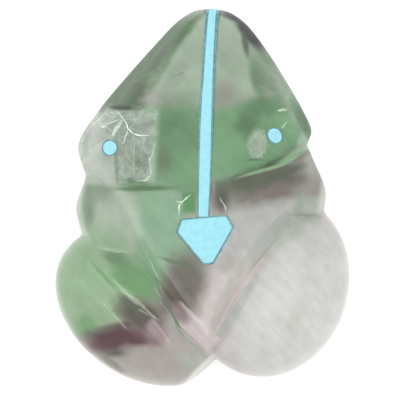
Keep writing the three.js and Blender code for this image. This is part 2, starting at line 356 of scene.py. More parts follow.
# The skin: rays from a flat spread of origins inside fan out between the nose and rump poles,
# and each stops where it meets the field. Their angle around from straight up is less by
# topShare * sin(around), so that more of them go upwards
def frogSkin():
    rows, columns = frogBody["rows"], frogBody["columns"]
    polar = np.linspace(0, np.pi, rows + 2)[1:-1]
    around = np.linspace(0, 2 * np.pi, columns, endpoint=False)
    around = around - frogBody["topShare"] * np.sin(around)
    polar, around = np.meshgrid(polar, around, indexing="ij")
    level = np.sin(polar)
    aim = np.stack([level * np.sin(around), -np.cos(polar), level * np.cos(around)], axis=-1)
    aim = np.concatenate([[[0, -1, 0]], aim.reshape(-1, 3), [[0, 1, 0]]])
    flat = aim * reach * (1, 1, 0)
    origins = np.array(frogBody["middle"]) + flat * frogBody["spread"]
    directions = flat * (1 - frogBody["spread"]) + aim * (0, 0, frogBody["rise"])
    skin = meet(origins, directions)
    return skin, poleFaces(rows, columns)


skin, skinFaces = frogSkin()
frog = makePiece("fluorite_frog", skin, skinFaces)
print("skin:", len(skin), "points, box", skin.min(axis=0).round(2), skin.max(axis=0).round(2))

# The inlays and the resin that they are set in. Places are shares, sizes are mm, and resin is
# how much wider the resin is on each side
heartline = {
    "path": [(-0.0705, -1.03), (-0.058, -0.94), (-0.044, -0.78), (-0.034, -0.622), (-0.026, -0.516),
             (-0.018, -0.357), (-0.0125, -0.198), (-0.0075, -0.04), (-0.002, 0.066), (-0.002, 0.12)],
    "widths": [0.84, 0.87, 0.93, 1.05, 1.16, 1.25, 1.26, 1.2, 1.12, 1.12],
    "depth": 1.2, "gapToArrowhead": 0.16, "rows": 150, "columns": 12,
    "rayStart": (0, 1, 5.95), "firstAngle": 0.004, "upAngle": 1.6, "lastAngle": 2.2,
    "guesses": 500, "crowding": 1.15,
    "resinNose": 0.34, "resinBack": 0.13,
}
arrowhead = {
    "place": (-0.007, 0.106), "width": 6.3, "topWidth": 5.1, "tipWidth": 1, "length": 5.2,
    "shoulder": 1.35, "turn": 5, "depth": 1.4, "cornerSoftness": 0.005, "resin": 0.14,
    "middle": 2, "spots": 144,
}
eyes = {
    "eye_left": {"place": (0.6245, -0.26), "diameter": 1.62},
    "eye_right": {"place": (-0.4805, -0.323), "diameter": 1.76},
}
eyeFit = {"depth": 1.5, "resin": 0.12, "lean": 0.25}
inlayFit = {
    "proud": 0.012, "bevel": 0.035, "resinSunk": 0.015, "resinDeeper": 0.1, "resinTuck": 0.05,
    "bond": 0.01, "pocketLift": 0.8, "plugRings": 9, "plugSpots": 96, "sharpAngle": 35,
}


# Rays from under the nose out through the heartline: their angle up from straight ahead, and
# how far across each starts
def heartlineRays(angles, across):
    directions = np.stack([np.zeros_like(angles), -np.cos(angles), np.sin(angles)], axis=-1).reshape(-1, 3)
    origins = np.tile(np.array(heartline["rayStart"], dtype=float), (len(directions), 1))
    origins[:, 0] = np.ravel(across)
    return origins, directions


# A strip along the heartline: rings square to it, each with its top on the skin, so that it
# wraps down over the nose. margins widen it at nose and back, lift raises its top, and depth
# sinks its floor. A ring goes across the top, down one wall, along the floor and up the other.
# The rays' angles grow as share ^ crowding along it, which sets rings closer at the nose
def stripShape(margins, lift, depth, endGap, bevel):
    rows, columns = heartline["rows"], heartline["columns"]
    path = np.array(heartline["path"]) * reach[:2]
    # the angle whose ray meets the skin at the strip's end
    first = heartline["firstAngle"]
    guess = np.linspace(first, heartline["lastAngle"], heartline["guesses"])
    across = np.interp(guess, [0, heartline["upAngle"]], path[[0, -1], 0])
    found = meet(*heartlineRays(guess, across))
    last = np.interp(arrowhead["place"][1] * reach[1] - endGap, found[:, 1], guess)
    share = np.linspace(0, 1, rows)
    angles = last * share ** heartline["crowding"] + first * (1 - share)
    along = np.interp(angles, guess, found[:, 1])
    half = np.interp(along, path[:, 1], heartline["widths"]) / 2
    margin = [margins[0], (margins[0] + margins[1]) / 2, margins[1]]
    half = half + np.interp(along, [-reach[1], -0.5 * reach[1], 0], margin)
    side = np.linspace(-1, 1, columns)
    top = np.interp(along, path[:, 1], path[:, 0])[:, None] + half[:, None] * side
    origins, directions = heartlineRays(np.repeat(angles[:, None], columns, axis=1), top)
    surface = meet(origins, directions).reshape(rows, columns, 3)
    out = directions.reshape(rows, columns, 3)
    upper = surface + out * lift
    upper[:, [0, -1]] -= out[:, [0, -1]] * bevel
    ring = np.concatenate([upper, (surface - out * depth)[:, ::-1]], axis=1)
    return ring.reshape(-1, 3), cappedFaces(rows, 2 * columns)


# A hexagon's outline with rounded corners, moved outwards by a margin: for each direction
# from the middle, how far its nearest side is, softened where two sides meet
def arrowheadReach(directions, margin):
    wide, top, tip = (arrowhead[key] / 2 for key in ("width", "topWidth", "tipWidth"))
    shoulder, length = arrowhead["shoulder"], arrowhead["length"]
    corners = np.array([(-top, 0), (top, 0), (wide, shoulder), (tip, length), (-tip, length),
                        (-wide, shoulder)]) - (0, arrowhead["middle"])
    sides = np.roll(corners, -1, axis=0) - corners
    normals = unit(np.stack([sides[:, 1], -sides[:, 0]], axis=1))
    offsets = (normals * corners).sum(axis=1) + margin
    slopes = directions @ normals.T / offsets
    return 1 / blendMax(list(slopes.T), arrowhead["cornerSoftness"])


# A plug set in the skin: rings from the middle out to its outline, cast onto the skin along
# its axis, then its wall and floor
def plugShape(outline, middle, axis, right, forward, lift, depth, bevel):
    rings, spots = inlayFit["plugRings"], len(outline)
    shares = np.linspace(0, 1, rings + 1)[1:]
    flat = shares[:, None, None] * outline[None]
    flat = np.concatenate([[[0.0, 0.0]], flat.reshape(-1, 2)])
    base = middle + flat[:, :1] * right + flat[:, 1:] * forward
    surface = meet(base, axis, far=3)
    top = surface + axis * lift
    top[-spots:] -= axis * bevel
    rim = surface[-spots:]
    floorRim = rim - axis * (((rim - middle) @ axis)[:, None] + depth)
    points = np.concatenate([top, floorRim, [middle - axis * depth]])
    return points, poleFaces(rings + 1, spots, True)


# The arrowhead's plug: its hexagon turned about the middle of its top side, let in from above
def arrowheadShape(margin, lift, depth, bevel):
    directions = circle(arrowhead["spots"])
    turn = math.radians(arrowhead["turn"])
    spin = np.array([[math.cos(turn), math.sin(turn)], [-math.sin(turn), math.cos(turn)]])
    outline = arrowheadReach(directions, margin)[:, None] * directions @ spin
    at = place((*arrowhead["place"], 0))[:2] + np.array([0, arrowhead["middle"]]) @ spin
    right, forward, axis = np.eye(3)
    return plugShape(outline, skinBelow(*at)[0], axis, right, forward, lift, depth, bevel)


# An eye's plug: a circle let in along an axis that leans with the skin
def eyeShape(eye, margin, lift, depth, bevel):
    at = place((*eye["place"], 0))
    middle = skinBelow(at[0], at[1])
    axis = unit(skinNormal(middle)[0] * (1, 1, 0) * eyeFit["lean"] + (0, 0, 1))
    right = unit(np.cross([0.0, 1.0, 0.0], axis))
    forward = np.cross(axis, right)
    outline = (eye["diameter"] / 2 + margin) * circle(inlayFit["plugSpots"])
    return plugShape(outline, middle[0], axis, right, forward, lift, depth, bevel)


# All four shapes at once: resin is 0 for the inlays, or 1 for the resin and the pockets that
# are wider by it, extra widens them by more, and deeper sinks their floors
def inlayShapes(resin, extra, lift, deeper, bevel):
    margins = [resin * heartline[key] + extra for key in ("resinNose", "resinBack")]
    gap = heartline["gapToArrowhead"] * (1 - resin) - inlayFit["resinTuck"] * resin
    shapes = {
        "heartline": stripShape(margins, lift, heartline["depth"] + deeper, gap, bevel),
        "arrowhead": arrowheadShape(
            resin * arrowhead["resin"] + extra, lift, arrowhead["depth"] + deeper, bevel),
    }
    for name, eye in eyes.items():
        shapes[name] = eyeShape(
            eye, resin * eyeFit["resin"] + extra, lift, eyeFit["depth"] + deeper, bevel)
    return shapes


# The four shapes as pieces, by name
def makeInlays(prefix, sharpAngle, *shape):
    pieces = {}
    for name, (points, faces) in inlayShapes(*shape).items():
        pieces[name] = makePiece(prefix + name, points, faces, sharpAngle)
    return pieces


deeper, bond, sharpAngle = inlayFit["resinDeeper"], inlayFit["bond"], inlayFit["sharpAngle"]
inlays = makeInlays("turquoise_", sharpAngle, 0, 0, inlayFit["proud"], 0, inlayFit["bevel"])
resins = makeInlays("resin_", sharpAngle, 1, 0, -inlayFit["resinSunk"], deeper, 0)
pockets = makeInlays("pocket_", None, 1, -bond, inlayFit["pocketLift"], deeper - bond, 0)
print("inlays:", len(inlays), "in", len(resins), "resin beds")


# Takes a cutter out of a piece and keeps the result as the piece's own mesh
def cutPocket(piece, cutter):
    cut = piece.modifiers.new("pocket", "BOOLEAN")
    cut.operation = "DIFFERENCE"
    cut.solver = "MANIFOLD"
    cut.object = cutter
    worked = piece.evaluated_get(bpy.context.evaluated_depsgraph_get())
    shaped = bpy.data.meshes.new_from_object(worked)
    piece.modifiers.clear()
    old = piece.data
    piece.data = shaped
    bpy.data.meshes.remove(old)
    bpy.data.objects.remove(cutter)


for pocket in pockets.values():
    cutPocket(frog, pocket)
frog.data.name = "fluorite_frog"
frog.data.shade_smooth()
frog.data.set_sharp_from_angle(angle=math.radians(frogBody["sharpAngle"]))
print("stone:", len(frog.data.polygons), "faces after its pockets")


# A mesh's points in mm, as rows
def pointsOf(mesh):
    flat = np.empty(len(mesh.vertices) * 3)
    mesh.vertices.foreach_get("co", flat)
    return flat.reshape(-1, 3) / mm


# Numbers kept on a mesh, one for each point, for its material to read
def keepNumbers(mesh, name, values):
    attribute = mesh.attributes.new(name, "FLOAT", "POINT")
    attribute.data.foreach_set("value", np.ascontiguousarray(values, dtype=np.float32))


# groove is 1 in the bottom of a vee and fades up its sides, as exp(-(gap / width) ^ 2) of the
# gap between the distances to trunk and lobe. under and ground are 1 where the skin faces down
skinMarks = {
    "ridge": 0.3, "groove": 0.1, "grooveWidth": 0.9, "under": (-0.05, -0.3), "ground": (-0.3, -0.75),
}
skinPlaces = pointsOf(frog.data)
gap = trunkField(skinPlaces, skinMarks["ridge"], skinMarks["groove"])
gap = gap - np.min(lobeFields(skinPlaces, skinMarks["ridge"]), axis=0)
keepNumbers(frog.data, "groove", np.exp(-(gap / skinMarks["grooveWidth"]) ** 2))
upwards = skinNormal(skinPlaces)[:, 2]
keepNumbers(frog.data, "under", smoothStep(*skinMarks["under"], upwards))
keepNumbers(frog.data, "ground", smoothStep(*skinMarks["ground"], upwards))

# Sealed in the stone: a fracture by the left eye, a flake by the right one, and cracks, with painted
# highlights among the crack ribbons.
# Outlines, paths and the place that streaks fan out from are in photograph px. Depths and
# sizes are in mm. Dark and light are the sheet's two paints in sRGB, cover is how much of what
# lies under it the sheet hides, and rim is how much lighter its edge is
fracture = {
    "outline": [
        (113, 136), (103, 131), (100, 121), (108, 114.5), (117, 112), (127, 112.5), (136, 111),
        (144, 108), (150, 111), (156, 115.5), (157.5, 125), (157, 136), (154, 150), (150.5, 161),
        (152, 173), (150, 179), (146, 181), (135, 181), (124, 180), (118.5, 179), (117, 168),
        (114, 157), (112, 147)],
    "depth": 0.4, "crumple": 0.14, "wavelength": 2.6, "thickness": 0.08, "ragged": 0.05, "seed": 3,
    "rings": 40, "spots": 180, "fan": (117, 120),
    "dark": (142, 154, 143), "light": (240, 246, 240), "cover": 0.8, "rim": 0.3,
}
flake = {
    "outline": [
        (256.8, 127.7), (264, 128), (266.5, 133.8), (267, 146.5), (266.5, 150.8), (261.7, 158),
        (255, 160.5), (247.7, 159.2), (246, 153.2), (250.8, 142.3), (250, 136.2), (254.4, 130.8)],
    "depth": 0.35, "crumple": 0.1, "wavelength": 1.5, "thickness": 0.08, "ragged": 0.08, "seed": 8,
    "rings": 26, "spots": 120, "fan": (258, 136),
    "dark": (172, 186, 172), "light": (240, 246, 238), "cover": 0.8, "rim": 0.3,
}
# Cracks that come up to the skin, and pale ribbons on it that are painted highlights: path, half width in
# px, and strength
cracksAndGlints = {
    "main": ([(117.4, 112), (120.2, 114.3), (127.1, 124.1), (128.9, 129.8), (133.4, 133.8), (138, 136.1),
              (151.2, 136.4)], 0.8, 0.7),
    "short": ([(101.3, 127.5), (107.6, 127.3)], 0.8, 0.9),
    "upper": ([(103, 126), (108.8, 124.7), (114, 122.5), (122, 120)], 0.9, 0.5),
    "eyeStreak": ([(123, 121), (118, 128), (113, 137)], 2.6, 0.38),
    "low": ([(128.5, 131), (126.5, 138), (123.5, 145)], 0.8, 0.5),
    "veinLong": ([(134, 136), (135.5, 150), (134, 166), (135, 176)], 0.6, 0.2),
    "veinMiddle": ([(138, 137), (141, 148), (143, 160)], 0.5, 0.2),
    "veinLeft": ([(119, 150), (122, 162), (126, 170)], 0.5, 0.2),
    "rim": ([(155.8, 142.5), (153, 154.5), (150.5, 162), (151.5, 172), (152.4, 175), (147, 180.8),
             (136, 181.4), (122, 181.5)], 0.7, 0.35),
    "eyeScratch": ([(280.5, 129), (283.5, 125.5), (286.5, 122.3)], 0.6, 0.5),
    # painted highlight: a pale glint on the right brow
    "browHighlight": ([(276, 112), (281, 110.8), (287, 110)], 1.8, 0.4),
    "arrowLong": ([(192, 194), (188.3, 197), (183.4, 201.3), (178.5, 202.3), (175.8, 200.2)], 0.8, 0.6),
    "arrowDown": ([(183.4, 201.3), (180, 205), (179.3, 208), (179.6, 214.7)], 0.9, 0.6),
    "arrowRight": ([(219.5, 197), (220.8, 200.7), (225.2, 207.2), (224.6, 212.5)], 0.7, 0.5),
    "flankTop": ([(145, 249.6), (155, 268.4), (159.5, 280), (163.5, 296)], 0.8, 0.25),
    "flankSide": ([(154, 285.4), (162, 298)], 0.7, 0.25),
    "flankLow": ([(160.4, 301.4), (169.3, 311.3), (176.4, 324.6), (185.4, 333.6),
                  (198.8, 346)], 0.8, 0.2),
    "featherTop": ([(113, 278), (124, 287), (134, 294)], 0.8, 0.22),
    "featherHigh": ([(116, 283), (128, 292.5), (142, 301)], 1.2, 0.26),
    "featherMiddle": ([(121, 289), (134, 298), (147, 306.5)], 1.5, 0.26),
    "featherLow": ([(131, 297.5), (146, 308), (157, 317)], 1.1, 0.24),
    "featherTip": ([(127, 296), (138, 304)], 0.8, 0.2),
    "streakLow": ([(139, 308), (149, 313), (160.5, 319.5)], 1.5, 0.15),
    "streakLeft": ([(104, 302), (116, 315), (128, 328)], 1.8, 0.15),
    "streakBeside": ([(107, 301), (114, 309)], 1.1, 0.12),
    "haunchVein": ([(95, 260), (106.8, 281), (117, 293)], 0.7, 0.1),
    "roseEdge": ([(153, 321), (162, 329), (171, 343)], 0.9, 0.2),
    # painted highlights: pale lines along the edges of the lilac facet and of the right band
    "lilacEdgeHighlight": ([(176, 298), (192, 313), (209, 329), (214, 346)], 0.7, 0.2),
    "bandEdgeHighlight": ([(296, 218), (262, 258), (256, 267), (217, 332)], 0.8, 0.25),
    "footRim": ([(101, 247), (113, 251.5), (127, 251.5)], 1.5, 0.08),
}
# A ribbon's steps along and sides round, and in mm how far it stands proud and wavers. Tip is
# its least width and uneven how much its width ripples, as shares. Grain makes it patchy
crackAndGlintFit = {
    "steps": 40, "sides": 8, "proud": 0.012, "waver": 0.03, "wavelength": 0.9,
    # paint is the pale colour of both the cracks and the painted highlights
    "tip": 0.12, "uneven": 0.3, "unevenLength": 0.7, "paint": (224, 236, 222),
    "grainSize": 2.2, "grainSpan": (0.3, 0.65), "grainLeast": 0.45,
}


# A thin sheet that closes on itself like a flattened ball: rings from a middle on top out to
# the outline and back to a middle below. As the swing goes from 0 to a half turn, a ring lies
# out by its sine, and at the skin - depth + crumple * ripple + half thickness * its cosine.
# Its edge number is 0 in the middle and 1 at the outline
def sheetShape(outline, form):
    rings, spots = form["rings"], len(outline)
    middle = outline.mean(axis=0)
    swing = np.linspace(0, np.pi, rings + 2)
    share = np.sin(swing)[:, None]
    share[-1] = 0
    flat = middle + share[:, :, None] * (outline - middle)
    across, along = flat[..., 0].ravel(), flat[..., 1].ravel()
    height = skinBelow(across, along)[:, 2] - form["depth"]
    height = height + form["crumple"] * ripple(across, along, form["wavelength"], form["seed"])
    height = height + form["thickness"] / 2 * np.repeat(np.cos(swing), spots)
    points = np.stack([across, along, height], axis=1)
    points = np.concatenate([points[:1], points[spots:-spots], points[-1:]])
    edge = np.concatenate([[0], np.repeat(share[1:-1, 0], spots), [0]])
    return points, poleFaces(rings, spots, True), edge


# An outline from corners: radii read round the middle by angle, times 1 + ragged * a ripple
def raggedOutline(corners, spots, ragged, seed, wavelength=0.3):
    middle = np.mean(corners, axis=0)
    x, y = (np.array(corners) - middle).T
    directions = circle(spots, -np.pi)
    turns = np.linspace(-np.pi, np.pi, spots, endpoint=False)
    radius = np.interp(turns, np.arctan2(y, x), np.hypot(x, y), period=2 * np.pi)
    radius = radius * (1 + ragged * ripple(*directions.T, wavelength, seed))
    return middle + radius[:, None] * directions


# A ribbon along a path on the skin: a flat circle carried along it, widest in the middle and
# drawn out to a point at each end, as the square root of a sine. Each of its points stands on
# the skin at its own place. Its edge number is 0 along the middle and 1 along both sides
def ribbonShape(path, halfWidth, seed):
    steps, sides = crackAndGlintFit["steps"], crackAndGlintFit["sides"]
    path = np.array([fromPhoto(*spot) for spot in path])
    run = np.concatenate([[0], np.cumsum(np.linalg.norm(np.diff(path, axis=0), axis=1))])
    along = np.linspace(0, run[-1], steps)
    flat = np.stack([np.interp(along, run, path[:, axis]) for axis in (0, 1)], axis=1)
    waver = [ripple(*flat.T, crackAndGlintFit["wavelength"], seed + axis) for axis in (0, 1)]
    flat = flat + crackAndGlintFit["waver"] * np.stack(waver, axis=1)
    heading = unit(np.gradient(flat, axis=0))
    side = np.stack([-heading[:, 1], heading[:, 0]], axis=1)
    taper = crackAndGlintFit["tip"] + (1 - crackAndGlintFit["tip"]) * np.sin(np.pi * np.linspace(0, 1, steps)) ** 0.5
    uneven = 1 + crackAndGlintFit["uneven"] * ripple(along, along * 0, crackAndGlintFit["unevenLength"], seed)
    wide = halfWidth * photo["mmPerPx"] * taper * uneven
    sideways, upwards = circle(sides).T
    ring = flat[:, None, :] + side[:, None, :] * (wide[:, None] * sideways)[..., None]
    across, ahead = ring.reshape(-1, 2).T
    up = skinBelow(across, ahead)[:, 2] + crackAndGlintFit["proud"] * np.tile(upwards, steps)
    return np.stack([across, ahead, up], axis=1)


# A crumpled sheet as a piece, from its outline in the photograph
def outlinedSheet(name, form):
    corners = [fromPhoto(*corner) for corner in form["outline"]]
    outline = raggedOutline(corners, form["spots"], form["ragged"], form["seed"])
    points, faces, edge = sheetShape(outline, form)
    piece = makePiece(name, points, faces)
    keepNumbers(piece.data, "edge", edge)
    return piece


fracturePiece = outlinedSheet("fracture_left_eye", fracture)
flakePiece = outlinedSheet("flake_right_eye", flake)

ribbons = [ribbonShape(path, halfWidth, seed) for seed, (path, halfWidth, _) in enumerate(cracksAndGlints.values())]
faces = []
for seed, ribbon in enumerate(ribbons):
    faces += cappedFaces(crackAndGlintFit["steps"], crackAndGlintFit["sides"], seed * len(ribbon))
crackAndGlintPiece = makePiece("cracksAndGlints", np.concatenate(ribbons), faces)
ribbonEdge = np.abs(circle(crackAndGlintFit["sides"])[:, 0])
keepNumbers(crackAndGlintPiece.data, "edge", np.tile(ribbonEdge, len(ribbons) * crackAndGlintFit["steps"]))
strengths = [strength for _, _, strength in cracksAndGlints.values()]
keepNumbers(crackAndGlintPiece.data, "strength", np.repeat(strengths, len(ribbons[0])))
print("in the stone: a fracture, a flake and", len(cracksAndGlints), "cracksAndGlints")


class Wire:
    # A socket in a material's tree, so that sums on it read as Python and add Math nodes
    def __init__(self, tree, socket=None):
        self.tree = tree
        self.socket = socket

    # Any node: its type, its settings, then values or wires for its sockets
    def node(self, kind, settings=None, sockets=None, output=0):
        node = self.tree.nodes.new(kind)
        for name, value in (settings or {}).items():
            setattr(node, name, value)
        for key, value in (sockets or {}).items():
            if isinstance(value, Wire):
                self.tree.links.new(value.socket, node.inputs[key])
            else:
                node.inputs[key].default_value = value
        return Wire(self.tree, node.outputs[output])

    def sum(self, operation, first, second):
        return self.node("ShaderNodeMath", {"operation": operation}, {0: first, 1: second})

    def __add__(self, other):
        return self.sum("ADD", self, other)

    def __radd__(self, other):
        return self.sum("ADD", other, self)

    def __sub__(self, other):
        return self.sum("SUBTRACT", self, other)

    def __rsub__(self, other):
        return self.sum("SUBTRACT", other, self)

    def __mul__(self, other):
        return self.sum("MULTIPLY", self, other)

    def __rmul__(self, other):
        return self.sum("MULTIPLY", other, self)

    # From 0 at low to 1 at high, smoothly
    def step(self, low, high):
        return self.node("ShaderNodeMapRange", {"interpolation_type": "SMOOTHSTEP"},
                         {0: self, 1: low, 2: high, 3: 0.0, 4: 1.0})

    # A Vector Math node, whose output 1 is the length
    def vector(self, operation, sockets, output=0):
        return self.node("ShaderNodeVectorMath", {"operation": operation}, sockets, output)

    # One colour to another by a factor
    def between(self, factor, first, second):
        return self.node("ShaderNodeMix", {"data_type": "RGBA"}, {0: factor, 6: first, 7: second}, 2)

    # One of a vector's three numbers
    def part(self, which):
        return self.node("ShaderNodeSeparateXYZ", {}, {0: self}, which)


# sRGB numbers, 0 to 255, as the linear colour that a shader takes
def paint(red, green, blue):
    values = np.array([red, green, blue]) / 255
    linear = np.where(values <= 0.04045, values / 12.92, ((values + 0.055) / 1.055) ** 2.4)
    return (*np.clip(linear, 0, 1).tolist(), 1.0)


# A new material: its tree's start, its surface shader, and its object coordinates in mm
def newMaterial(name, plain):
    material = bpy.data.materials.new(name)
    material.use_nodes = True
    tree = material.node_tree
    shader = tree.nodes["Principled BSDF"]
    for key, value in plain.items():
        shader.inputs[key].default_value = value
    start = Wire(tree)
    coordinates = start.node("ShaderNodeTexCoord", output=3)
    inMm = start.vector("SCALE", {0: coordinates, 3: 1 / mm})
    return material, start, shader, inMm


def feed(start, wire, shader, key):
    start.tree.links.new(wire.socket, shader.inputs[key])


def noise(start, coordinates, scale, detail=3, roughness=0.55, output=0):
    values = {"Vector": coordinates, "Scale": scale, "Detail": detail, "Roughness": roughness}
    return start.node("ShaderNodeTexNoise", {"noise_dimensions": "3D"}, values, output)


# Numbers kept on the mesh's points
def kept(start, name):
    return start.node("ShaderNodeAttribute", {"attribute_name": name}, output=2)


# Coordinates as a pattern reads them that is moved, turned and then stretched to sizes
def laidOut(start, coordinates, turn, sizes, at=(0, 0, 0)):
    return start.node("ShaderNodeMapping", {"vector_type": "TEXTURE"}, {
        "Vector": coordinates, "Location": at, "Rotation": (0, 0, turn), "Scale": sizes})


# Small bumps in the skin, from a height, with a depth in mm
def bumps(start, height, strength, depth):
    return start.node("ShaderNodeBump", {},
                      {"Strength": strength, "Distance": depth * mm, "Height": height})


# The fluorite. Milk is the share of light that is scattered inside, to milkDepth mm. Polish,
# satin, ground and dull are roughnesses. Zones are bent by softWarps of noise, each a size and
# an amount in mm, and marks by crispWarps. Noise sizes are waves per mm
fluorite = {
    "transmission": 0.86, "ior": 1.434, "polish": 0.05, "satin": 0.3, "milk": 0.6, "milkDepth": 3,
    "absorb": (0.92, 0.91, 0.93, 1), "absorbPerMetre": 15.0, "ground": 0.55,
    "haze": 0.03, "lift": 1.2, "bend": 0.75,
    "softWarps": [(0.3, 0.45), (1.1, 0.3)], "crispWarps": [(0.7, 0.08)],
    "cloud": 0.26, "cloudSize": 0.6, "underPaint": 0.1, "dull": 0.6,
    "fibre": 0.24, "fibreSize": 1.3, "fibreTurn": math.radians(-48), "fibreSizes": (6, 1, 3),
    "smudge": 0.05, "smudgeSize": 0.45, "scratch": 0.35, "scratchSize": 1.6, "scratchTurn": 0.5,
    "scratchSizes": (3, 0.35, 1.5), "rippleSize": 0.5, "bump": 0.25, "bumpDepth": 0.03,
    "brightest": 0.97, "underShade": (0.96, 0.96, 0.96, 1), "tintSpan": (0.005, 0.985),
}
# A band's mask is a little longer than the band, and all masks go right through the stone
zoneFit = {"bandReach": 1.12, "through": 1000, "together": 10}
# The stone's paints as they look from above, in sRGB. The dark greens pine and night are painted shade for
# steep edges, and lime is a painted highlight
paints = {
    "pearl": (204, 204, 202), "shell": (222, 210, 213), "mist": (186, 191, 181), "pale": (191, 182, 182),
    "ash": (200, 196, 199), "dove": (184, 177, 175), "smoke": (168, 156, 156), "clay": (142, 120, 123),
    "slate": (124, 116, 111), "pitch": (92, 100, 83), "umber": (97, 86, 79), "plum": (99, 66, 77),
    "thorn": (92, 90, 81), "rose": (170, 148, 159), "ice": (184, 206, 216), "lichen": (176, 183, 176),
    "frost": (203, 207, 201), "mint": (190, 200, 188), "haze": (162, 175, 160), "sage": (176, 192, 175),
    "spring": (166, 189, 162), "meadow": (155, 185, 160), "dew": (142, 164, 139), "leaf": (138, 176, 140),
    "glade": (134, 173, 132), "fern": (126, 168, 130), "emerald": (119, 165, 116), "vivid": (94, 153, 99),
    "jade": (116, 142, 113), "olive": (113, 130, 107), "moss": (113, 148, 114),
    "shade": (101, 130, 98), "pineShade": (74, 106, 72), "nightShade": (30, 54, 36), "veil": (194, 201, 193),
    "flake": (192, 202, 190), "fawn": (151, 143, 139), "heather": (150, 128, 134), "bark": (84, 92, 76),
    "limeHighlight": (170, 198, 167),
}
